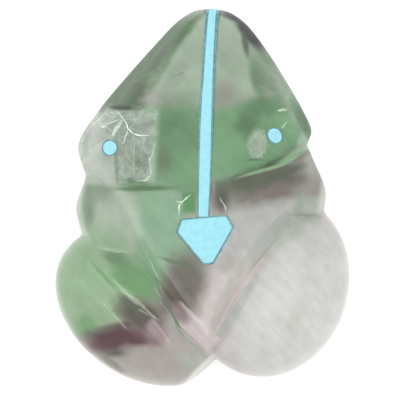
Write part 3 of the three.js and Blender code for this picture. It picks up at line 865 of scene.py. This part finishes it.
# The stone's soft zones, first to last, in photograph px. A spot or a slab has its paint,
# middle, half sizes, turn, softness and strength. A band has its paint, its two ends, half
# width, softness and strength
fluoriteZones = {
    "haunchRight": ("spot", "pearl", (290, 300), (75, 85), 0, 0.15, 1),
    "backPink": ("spot", "shell", (228, 285), (38, 68), 25, 0.3, 1),
    "backGrey": ("spot", "ash", (262, 228), (50, 27), -15, 0.35, 1),
    "backMauve": ("spot", "dove", (227, 262), (12, 8), 0, 0.7, 0.8),
    "head": ("slab", "leaf", (205, 147), (162, 40), 0, 0.13, 1),
    "neckGreyRight": ("slab", "pitch", (283, 165), (53, 13), -28, 0.2, 1),
    "neckDusk": ("band", "slate", (212, 196), (304, 180), 15, 0.6, 0.85),
    "neckShade": ("band", "pitch", (212, 190), (296, 172), 8, 0.7, 0.75),
    "neckRose": ("band", "clay", (258, 196), (304, 186), 6, 0.7, 0.8),
    "forelegRight": ("spot", "fawn", (306, 184), (16, 33), -12, 0.4, 1),
    "forelegRightLow": ("spot", "lichen", (308, 208), (14, 12), 0, 0.5, 1),
    "neckEnd": ("band", "umber", (284, 181), (306, 178), 6, 0.8, 0.6),
    "snoutBase": ("spot", "sage", (206, 62), (62, 50), 0, 0.2, 1),
    "snoutTop": ("spot", "dew", (213, 22), (27, 15), 0, 0.6, 0.8),
    "snoutUpper": ("spot", "haze", (198, 40), (22, 22), 0, 0.6, 1),
    "snoutRight": ("spot", "haze", (232, 44), (16, 34), -8, 0.4, 1),
    # painted shade: the snout's steep left edge is painted dark
    "snoutEdgeShadeLeft": ("band", "pineShade", (196, 12), (104, 106), 13, 0.35, 1),
    "snoutMauve": ("band", "bark", (176, 42), (154, 70), 5, 0.7, 0.7),
    # painted shade: the snout's lower left edge is painted dark
    "snoutEdgeShadeLow": ("band", "pineShade", (146, 82), (104, 110), 12, 0.5, 1),
    "snoutOlive": ("spot", "bark", (136, 92), (9, 11), 30, 0.7, 0.7),
    "snoutRose": ("spot", "smoke", (182, 99), (22, 6), -8, 0.8, 0.4),
    "snoutRoseRight": ("spot", "smoke", (224, 95), (13, 12), 0, 0.8, 0.8),
    "snoutOuterRight": ("band", "jade", (258, 50), (294, 106), 14, 0.5, 0.95),
    # painted shade: a dark line along the left brow's edge
    "browLeft": ("band", "pineShade", (98, 107), (141, 106), 6, 0.5, 1),
    "browRight": ("band", "moss", (246, 108), (300, 104), 10, 0.5, 1),
    "headMidLeft": ("spot", "moss", (180, 140), (24, 36), 0, 0.6, 0.9),
    "headLowLeft": ("spot", "fern", (188, 178), (16, 26), 4, 0.5, 1),
    "headOlive": ("spot", "olive", (164, 166), (8, 20), 0, 0.6, 0.9),
    "cheekRight": ("spot", "leaf", (298, 130), (13, 19), 0, 0.5, 1),
    "eyeRightLight": ("band", "fern", (218, 172), (284, 150), 9, 0.6, 1),
    "eyeRightShade": ("spot", "shade", (247, 127), (12, 12), 0, 0.7, 0.9),
    "headStreak": ("band", "dew", (222, 122), (240, 142), 4, 0.6, 0.6),
    "cheekLeft": ("spot", "frost", (94, 150), (24, 40), 0, 0.25, 1),
    "cheekLeftEdge": ("band", "haze", (88, 128), (83, 168), 4, 0.7, 0.8),
    "neckLeft": ("band", "moss", (124, 188), (176, 186), 7, 0.5, 1),
    "backGreen": ("spot", "meadow", (165, 240), (30, 62), -10, 0.35, 1),
    "forelegLeft": ("spot", "mint", (110, 218), (31, 44), -20, 0.22, 1),
    "forelegLeftOuter": ("band", "dew", (88, 190), (84, 234), 8, 0.6, 1),
    "forelegLeftTop": ("spot", "haze", (98, 190), (15, 12), 0, 0.5, 1),
    "haunchGreen": ("spot", "spring", (98, 285), (46, 54), 0, 0.3, 1),
    "haunchDeep": ("band", "emerald", (116, 262), (156, 298), 15, 0.5, 1),
    "haunchOlive": ("spot", "jade", (116, 258), (12, 7), 20, 0.6, 0.9),
    "haunchGreenLow": ("spot", "glade", (84, 328), (14, 12), -40, 0.6, 1),
    "backDusk": ("spot", "slate", (183, 285), (21, 38), 22, 0.5, 1),
    "backDuskCore": ("spot", "umber", (178, 303), (9, 13), 30, 0.9, 1),
    "haunchLow": ("spot", "dove", (155, 362), (62, 24), 10, 0.3, 1),
    "haunchLowPale": ("spot", "mist", (196, 355), (18, 12), -20, 0.6, 1),
    "haunchDusk": ("spot", "umber", (142, 314), (25, 13), 20, 0.55, 1),
    "haunchPlum": ("band", "plum", (86, 342), (144, 331), 12, 0.65, 1),
    "haunchPlumLight": ("spot", "clay", (153, 340), (9, 6), 10, 0.7, 0.9),
    "haunchLowMauve": ("band", "umber", (98, 354), (124, 370), 4, 0.6, 0.6),
    "grooveLeft": ("band", "dove", (168, 318), (197, 349), 9, 0.5, 1),
    "bandRightTop": ("band", "mist", (318, 204), (262, 258), 9, 0.5, 1),
    "bandRightLight": ("band", "pearl", (312, 206), (258, 256), 8, 0.6, 0.5),
    "bandRightLow": ("band", "pale", (268, 256), (214, 350), 7.5, 0.4, 1),
    "haunchRightPale": ("band", "pearl", (288, 248), (238, 332), 12, 0.4, 1),
    "haunchRightStreak": ("band", "mist", (300, 300), (288, 350), 6, 0.9, 0.6),
    "haunchRightMist": ("band", "mist", (314, 236), (306, 280), 7, 0.9, 0.35),
}
# Marks with crisp edges, in the same form. Among them are painted shade along steep edges, painted
# highlights along the head's rear rim, and painted reflections on the snout and behind the head
fluoriteMarks = {
    "veilGround": ("slab", "veil", (130, 145), (27, 36), 4, 0.16, 1),
    "veilShade": ("spot", "haze", (141, 162), (9, 9), 0, 0.9, 0.7),
    "flakeGround": ("spot", "flake", (257, 145), (9.5, 16), 10, 0.3, 1),
    "cheekFacet": ("slab", "frost", (98, 172), (20, 13), 0, 0.3, 1),
    # painted shade: a darker line still along the left brow's edge
    "browShadeLine": ("spot", "nightShade", (122, 108.6), (13, 2.4), 4, 0.7, 0.8),
    "neckGlint": ("spot", "dew", (136, 184.6), (17, 1.2), 0, 0.6, 1),
    # painted reflection: a dark line in the crease behind the head, where the head's rear edge is reflected
    "neckEdgeReflection": ("spot", "shade", (144, 188.6), (28, 2.4), -1, 0.6, 1),
    "cheekCrease": ("spot", "haze", (118, 173), (1.8, 16), -4, 0.6, 0.9),
    "headRimShade": ("band", "pitch", (262, 182), (302, 166), 4, 0.6, 0.9),
    # painted highlights: two pale lines along the head's rear rim on the right
    "headRimHighlightUpper": ("band", "limeHighlight", (276, 166), (305, 149), 3.8, 0.5, 1),
    "headRimHighlightLower": ("band", "limeHighlight", (242, 176.5), (284, 164.5), 1.8, 0.5, 1),
    "patchGreen": ("slab", "vivid", (189.5, 203), (6.5, 10), 0, 0.4, 0.95),
    "heartlineRose": ("spot", "smoke", (213.6, 196), (1.5, 17), 0, 0.6, 0.9),
    "heartlineSpeck": ("spot", "thorn", (221, 199), (7, 12), 0, 0.8, 1),
    # painted shade: the snout's steep right edge and its front corner are painted near black
    "snoutShadeRight": ("band", "nightShade", (237, 18), (260, 48), 6.5, 0.5, 1),
    "snoutCornerShade": ("band", "nightShade", (222, 12), (242, 20), 4.5, 0.6, 1),
    # painted reflections: dark lines down the snout's right slope, where its edges are reflected
    "snoutEdgeReflectionUpper": ("band", "bark", (243, 34), (247, 56), 3, 0.6, 0.9),
    "snoutEdgeReflectionLower": ("band", "jade", (253, 60), (262, 98), 7.5, 0.5, 0.95),
    # painted reflection: a lighter band inside the snout's left slope, where the underside's edges are
    # reflected
    "snoutUnderReflection": ("band", "haze", (190, 54), (164, 96), 8, 0.4, 0.9),
    "snoutSlope": ("band", "jade", (176, 46), (150, 88), 5, 0.8, 0.8),
    "cheekShade": ("band", "shade", (297, 110), (307, 134), 6, 0.6, 0.9),
    "eyeArc": ("band", "moss", (246, 161.5), (263, 160), 1.5, 0.6, 0.9),
    "footRim": ("band", "mint", (100, 247), (127, 251.5), 1.8, 0.6, 0.9),
    "bandGreenTop": ("band", "lichen", (314, 210), (272, 250), 3.5, 0.6, 0.5),
    "bandGreenLow": ("band", "lichen", (252, 284), (217, 340), 4, 0.5, 0.8),
    "bandShadow": ("band", "smoke", (298, 216), (256, 262), 1.2, 0.6, 0.4),
    "duskLine": ("band", "olive", (162, 257), (194, 267), 2, 0.6, 0.9),
    "arrowheadPale": ("band", "ice", (215.5, 262), (233, 229), 1.4, 0.5, 0.9),
    "underStreak": ("band", "pitch", (122, 296), (144, 311), 5, 0.6, 0.9),
    "wedge": ("spot", "slate", (184, 301), (20, 8), 38, 0.6, 0.65),
    "lilacFacet": ("slab", "shell", (195, 326), (27, 9), 44, 0.15, 1),
    "grooveLine": ("band", "haze", (181, 331), (206, 357), 1.2, 0.7, 0.7),
    "lilacTop": ("spot", "heather", (179, 311), (13, 7), 46, 0.5, 0.9),
    "roseFacet": ("slab", "rose", (157, 329), (12, 6), 48, 0.25, 0.95),
    "plumCore": ("spot", "plum", (106, 343), (16, 7), -14, 0.6, 1),
    "plumTop": ("band", "umber", (104, 328), (132, 322), 3, 0.9, 0.7),
    "plumSpeck": ("spot", "plum", (126, 325), (6, 3), -20, 0.9, 0.6),
    "plumGrain": ("spot", "umber", (143, 322), (5, 4), 30, 0.9, 0.6),
    "plumRight": ("spot", "plum", (136, 337), (12, 6), 12, 0.6, 1),
    "plumGreen": ("spot", "thorn", (114, 352), (10, 4), 0, 0.9, 0.9),
    "flankCrease": ("band", "olive", (168, 306), (181, 330), 2.2, 0.6, 0.9),
    "haunchVein": ("band", "emerald", (94, 263), (114, 286), 1.8, 0.6, 0.9),
}
# Steep places that the photograph shows without a bright reflection, so matt: shape, middle or
# ends, half sizes or half width, turn and softness
dullSpots = {
    "browShadeLine": ("spot", (123, 108.6), (15, 4), 4, 0.5),
    "snoutRight": ("band", (226, 12), (272, 66), 9, 0.5),
    "cheekRight": ("band", (292, 100), (312, 140), 7, 0.5),
    "cheekUnder": ("band", (236, 178), (306, 152), 5, 0.5),
}


def fluoriteMaterial():
    material, start, shader, inMm = newMaterial("fluorite", {
        "Transmission Weight": fluorite["transmission"], "IOR": fluorite["ior"],
        "Subsurface Weight": fluorite["milk"], "Subsurface Scale": fluorite["milkDepth"] * mm,
        "Subsurface Radius": (1.0, 1.0, 1.0),
    })
    feed(start, fluoriteColour(start, inMm, kept(start, "ground")), shader, "Base Color")
    smudge = noise(start, inMm, fluorite["smudgeSize"], 4) - 0.5
    rough = kept(start, "groove") * (fluorite["satin"] - fluorite["polish"]) + fluorite["polish"]
    rough = rough + smudge * fluorite["smudge"]
    for shape, first, second, third, softness in dullSpots.values():
        mask = zoneMask(start, inMm, shape, first, second, third, softness)
        rough = rough + mask * (fluorite["dull"] - rough)
    rough = rough + kept(start, "under") * (fluorite["ground"] - rough)
    feed(start, rough, shader, "Roughness")
    scratch = laidOut(start, inMm, fluorite["scratchTurn"], fluorite["scratchSizes"])
    height = noise(start, scratch, fluorite["scratchSize"], 2) * fluorite["scratch"]
    height = height + noise(start, inMm, fluorite["rippleSize"], 2)
    feed(start, bumps(start, height, fluorite["bump"], fluorite["bumpDepth"]), shader, "Normal")
    inside = start.node("ShaderNodeVolumeAbsorption", {},
                        {"Color": fluorite["absorb"], "Density": fluorite["absorbPerMetre"]})
    feed(start, inside, material.node_tree.nodes["Material Output"], "Volume")
    return material


# Coordinates pushed about by noise, once for each size, up to the amount in mm either way
def bentBy(start, inMm, warps):
    bent = inMm
    for size, amount in warps:
        push = start.vector("SUBTRACT", {0: noise(start, inMm, size, output=1), 1: (0.5, 0.5, 0.5)})
        push = start.vector("SCALE", {0: push, 3: amount * 2})
        bent = start.vector("ADD", {0: bent, 1: push})
    return bent


# A zone's middle and half sizes in mm and its turn. A band's middle is the mean of its ends,
# its half length bandReach times half of their distance, and its turn the way between them
def zonePlace(shape, first, second, third):
    if shape == "band":
        ends = np.array([fromPhoto(*first), fromPhoto(*second)])
        way = ends[1] - ends[0]
        halves = (zoneFit["bandReach"] * np.linalg.norm(way) / 2, third * photo["mmPerPx"])
        return tuple(ends.mean(axis=0)), halves, math.atan2(way[1], way[0])
    halves = (second[0] * photo["mmPerPx"], second[1] * photo["mmPerPx"])
    return fromPhoto(*first), halves, math.radians(-third)


# What the top surface lets through for a paint to look right from above. The polish adds a
# haze of white, and the floor under the stone gets only light that came through it:
# lift * (paint - haze) ^ bend
def tint(shade):
    linear = np.array(paint(*paints[shade])[:3])
    least, most = fluorite["tintSpan"]
    through = fluorite["lift"] * np.clip(linear - fluorite["haze"], least, 1) ** fluorite["bend"]
    return (*np.clip(through, 0, most).tolist(), 1.0)


# A zone's mask is the length of the place measured from its middle in its half sizes, or for a
# slab the greater of the two sizes, let down smoothly from 1 inside to 0 outside
def zoneMask(start, coordinates, shape, first, second, third, softness):
    middle, halves, turn = zonePlace(shape, first, second, third)
    local = laidOut(start, coordinates, turn, (*halves, zoneFit["through"]), (*middle, 0))
    if shape == "slab":
        size = start.vector("ABSOLUTE", {0: local})
        away = start.sum("MAXIMUM", size.part(0), size.part(1))
    else:
        away = start.vector("LENGTH", {0: local}, 1)
    return away.step(1 + softness, 1 - softness)


# The zones' paints, each laid on the ones before. The coordinates are taken anew every ten
# zones as where + 0 * colour, which changes nothing but makes the renderer finish one ten
# before the next, as it can't hold them all at once
def laidOn(start, colour, zones, where):
    for count, (shape, shade, first, second, third, softness, strength) in enumerate(zones.values()):
        if count % zoneFit["together"] == 0:
            coordinates = start.vector("MULTIPLY_ADD", {0: colour, 1: (0, 0, 0), 2: where})
        mask = zoneMask(start, coordinates, shape, first, second, third, softness)
        colour = start.between(mask * strength, colour, tint(shade))
    return colour


# The tint: the zones, then the marks, then clouds and slanting fibres that make both lighter
# or darker. A clear surface lets through the square root of its colour, so the tint is
# squared for the shader. The ground underside is nearly white, so light is tinted at the top
def fluoriteColour(start, inMm, ground):
    colour = start.between(0.0, tint("pale"), (1, 1, 1, 1))
    colour = laidOn(start, colour, fluoriteZones, bentBy(start, inMm, fluorite["softWarps"]))
    colour = laidOn(start, colour, fluoriteMarks, bentBy(start, inMm, fluorite["crispWarps"]))
    cloud = noise(start, inMm, fluorite["cloudSize"], 5, 0.6) - 0.5
    slanting = laidOut(start, inMm, fluorite["fibreTurn"], fluorite["fibreSizes"])
    fibre = noise(start, slanting, fluorite["fibreSize"], 3, 0.6) - 0.5
    light = 1 + cloud * fluorite["cloud"] + fibre * fluorite["fibre"]
    through = start.vector("SCALE", {0: colour, 3: light})
    squared = start.vector("MULTIPLY", {0: through, 1: through})
    squared = start.vector("MINIMUM", {0: squared, 1: (fluorite["brightest"],) * 3})
    return start.between(ground * (1 - fluorite["underPaint"]), squared, fluorite["underShade"])


# The inlays' turquoise and the dark resin round them: two paints clouded into each other, and
# a roughness that grows by the second number in the clouds. Grain is the bumps' depth in mm
turquoise = {
    "deep": (118, 171, 182), "light": (124, 178, 188),
    "cloudSize": 1.6, "cloudDetail": 4, "cloudSpan": (0.35, 0.65), "rough": (0.3, 0.12),
    "grain": 0.01, "grainSize": 9, "bump": 0.2, "plain": {"Specular IOR Level": 0.35},
}
tealResin = {
    "deep": (50, 99, 105), "light": (78, 124, 128),
    "cloudSize": 2.2, "cloudDetail": 3, "cloudSpan": (0.35, 0.65), "rough": (0.2, 0.1),
    "grain": 0, "plain": {"Coat Weight": 0.3},
}


def cloudedMaterial(name, finish):
    material, start, shader, inMm = newMaterial(name, finish["plain"])
    cloud = noise(start, inMm, finish["cloudSize"], finish["cloudDetail"])
    share = cloud.step(*finish["cloudSpan"])
    feed(start, start.between(share, paint(*finish["deep"]), paint(*finish["light"])), shader, "Base Color")
    feed(start, finish["rough"][0] + cloud * finish["rough"][1], shader, "Roughness")
    if finish["grain"]:
        grain = noise(start, inMm, finish["grainSize"], 2)
        feed(start, bumps(start, grain, finish["bump"], finish["grain"]), shader, "Normal")
    return material


# What makes a dark matt sheet light: a share of mottle, one of streaks that fan out from its
# fan place, one of fine cells of cracks, and its rim, added up and clipped to 0 and 1. Each
# span is where a pattern goes from 0 to 1. The edge fades by edgeFade at the very outline
sheetFinish = {
    "mottle": 0.45, "mottleSize": 1.3, "mottleSpan": (0.34, 0.68),
    "streak": 0.4, "streakSize": 1.6, "streakSpan": (0.38, 0.7), "streaksRound": 3.4, "streaksAlong": 0.3,
    "cell": 0.4, "cellSize": 0.5, "cellSpan": (0, 0.045), "cellBend": 0.8,
    "rimSpan": (0.9, 0.97), "edgeSpan": (0.96, 1), "edgeFade": 0.6,
}


def sheetMaterial(name, form):
    look = sheetFinish
    material, start, shader, inMm = newMaterial(name, {"Roughness": 0.8, "Specular IOR Level": 0.0})
    outwards = start.vector("SUBTRACT", {0: inMm, 1: (*fromPhoto(*form["fan"]), 0)})
    angle = start.sum("ARCTAN2", outwards.part(0), outwards.part(1)) * look["streaksRound"]
    away = start.vector("LENGTH", {0: outwards}, 1) * look["streaksAlong"]
    polar = start.node("ShaderNodeCombineXYZ", {}, {0: angle, 1: away})
    streak = noise(start, polar, look["streakSize"], 4, 0.6).step(*look["streakSpan"])
    mottle = noise(start, inMm, look["mottleSize"], 7, 0.72).step(*look["mottleSpan"])
    bent = start.vector("ADD", {0: inMm, 1: noise(start, inMm, look["cellBend"], 2, output=1)})
    border = start.node("ShaderNodeTexVoronoi", {"feature": "DISTANCE_TO_EDGE"},
                        {"Vector": bent, "Scale": look["cellSize"]})
    cell = 1 - border.step(*look["cellSpan"])
    edge = kept(start, "edge")
    share = mottle * look["mottle"] + streak * look["streak"] + cell * look["cell"]
    share = share + edge.step(*look["rimSpan"]) * form["rim"]
    feed(start, start.between(share, paint(*form["dark"]), paint(*form["light"])), shader, "Base Color")
    cover = form["cover"] * (1 - edge.step(*look["edgeSpan"]) * look["edgeFade"])
    feed(start, cover, shader, "Alpha")
    return material


# The cracks and the painted highlights fade towards their sides as 1 - edge squared, and are grainy
def crackAndGlintMaterial():
    material, start, shader, inMm = newMaterial("crack", {
        "Base Color": paint(*crackAndGlintFit["paint"]), "Roughness": 0.7, "Specular IOR Level": 0.0})
    edge = kept(start, "edge")
    grain = noise(start, inMm, crackAndGlintFit["grainSize"], 4, 0.6).step(*crackAndGlintFit["grainSpan"])
    grain = crackAndGlintFit["grainLeast"] + grain * (1 - crackAndGlintFit["grainLeast"])
    feed(start, (1 - edge * edge) * kept(start, "strength") * grain, shader, "Alpha")
    return material


frog.data.materials.clear()
for material, pieces in (
    (fluoriteMaterial(), [frog]),
    (cloudedMaterial("turquoise", turquoise), inlays.values()),
    (cloudedMaterial("teal_resin", tealResin), resins.values()),
    (sheetMaterial("fracture", fracture), [fracturePiece]),
    (sheetMaterial("flake", flake), [flakePiece]),
    (crackAndGlintMaterial(), [crackAndGlintPiece]),
):
    for piece in pieces:
        piece.data.materials.append(material)
print("materials:", len(bpy.data.materials))

# The studio: a pale floor, an even sky and one large soft lamp, in metres, with the floor's
# drop in mm. The camera looks straight down, with its middle, the width that it sees and the
# height where it sees that width in mm
studio = {
    "floorShade": 0.95, "floorHalf": 1.5, "floorDrop": 0.02, "skyStrength": 1.6,
    "lampPower": 12.0, "lampSize": 2.4, "lampPlace": (0.3, -0.3, 1.3),
}
camera = {"middle": (0.35, 0.29), "viewWidth": 46.56, "lens": 400, "sensor": 36, "focusHeight": 6}

floorMesh = bpy.data.meshes.new("floor")
corners = np.array([(-1, -1, 0), (1, -1, 0), (1, 1, 0), (-1, 1, 0)]) * studio["floorHalf"]
corners[:, 2] = -studio["floorDrop"] * mm
floorMesh.from_pydata(corners.tolist(), [], [(0, 1, 2, 3)])
floor = addObject("floor", floorMesh)
floorPaint = newMaterial("floor", {
    "Base Color": (studio["floorShade"],) * 3 + (1,), "Roughness": 0.9, "Specular IOR Level": 0.0})[0]
floorMesh.materials.append(floorPaint)

world = bpy.data.worlds.new("studio")
world.use_nodes = True
sky = world.node_tree.nodes["Background"].inputs
sky["Color"].default_value = (1, 1, 1, 1)
sky["Strength"].default_value = studio["skyStrength"]
bpy.context.scene.world = world

lampData = bpy.data.lights.new("softbox", "AREA")
lampData.energy = studio["lampPower"]
lampData.size = studio["lampSize"]
lamp = addObject("softbox", lampData)
lamp.location = studio["lampPlace"]
lamp.rotation_euler = (-lamp.location).to_track_quat("-Z", "Y").to_euler()

cameraData = bpy.data.cameras.new("camera")
cameraData.lens = camera["lens"]
cameraData.sensor_width = camera["sensor"]
eyePoint = addObject("camera", cameraData)
away = camera["viewWidth"] * camera["lens"] / camera["sensor"]
eyePoint.location = np.array([*camera["middle"], away + camera["focusHeight"]]) * mm
eyePoint.rotation_euler = (0, 0, math.pi)
bpy.context.scene.camera = eyePoint
bpy.context.scene.view_settings.view_transform = "Standard"
print("studio: floor, sky, lamp and camera")

# What each piece stands for
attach(frog, "root")
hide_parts("frog_body")
for name, piece in inlays.items():
    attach(piece, "root")
    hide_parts(name)
for piece in (*resins.values(), fracturePiece, flakePiece, crackAndGlintPiece):
    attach(piece, "root")
